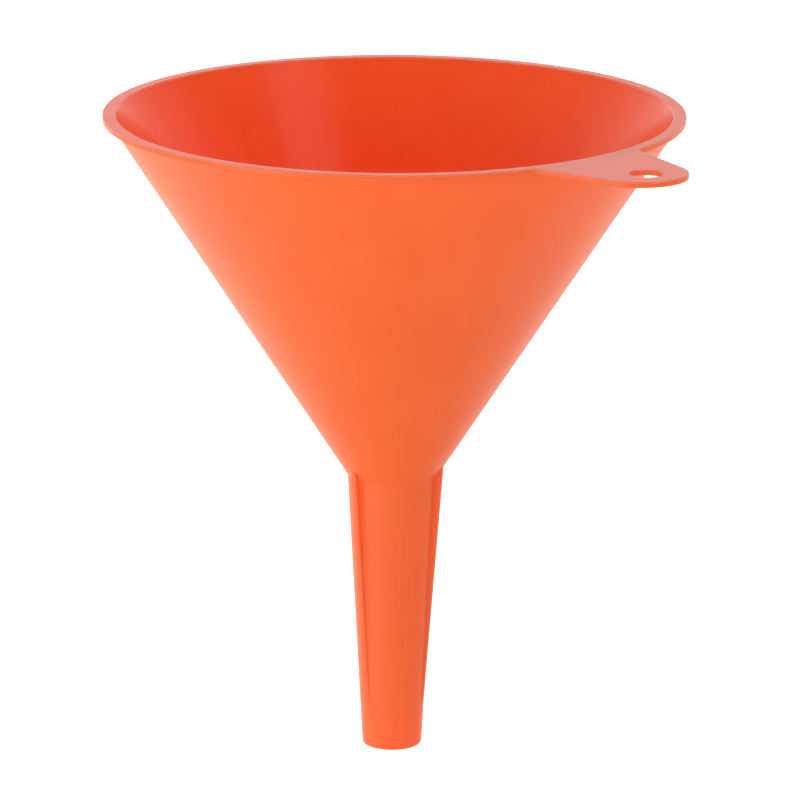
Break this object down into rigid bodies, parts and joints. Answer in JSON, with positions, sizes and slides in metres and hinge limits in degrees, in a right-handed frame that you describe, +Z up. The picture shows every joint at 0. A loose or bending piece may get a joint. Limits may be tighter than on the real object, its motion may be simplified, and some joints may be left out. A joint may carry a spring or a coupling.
{
  "type": "funnel",
  "caption": "Conical plastic funnel with a flat rim flange, a hanging tab and a tapered spout with raised vent ribs.",
  "frame": {"origin": "on the funnel's axis, at the height where the outside of the bowl meets the outside of the spout", "axes": "+Z up the axis towards the mouth, +X towards the hanging tab, +Y to the left of the tab seen from the axis"},
  "size_m": [0.1915, 0.16, 0.18],
  "materials": {
    "orange_plastic": "satin injection-moulded polyethylene"
  },
  "bodies": {
    "root": {"rim_flange": "orange_plastic", "hanging_tab": "orange_plastic", "bowl": "orange_plastic", "throat": "orange_plastic", "spout": "orange_plastic", "outlet_lip": "orange_plastic", "vent_rib_1": "orange_plastic", "vent_rib_2": "orange_plastic", "vent_rib_3": "orange_plastic"}
  },
  "joints": []
}
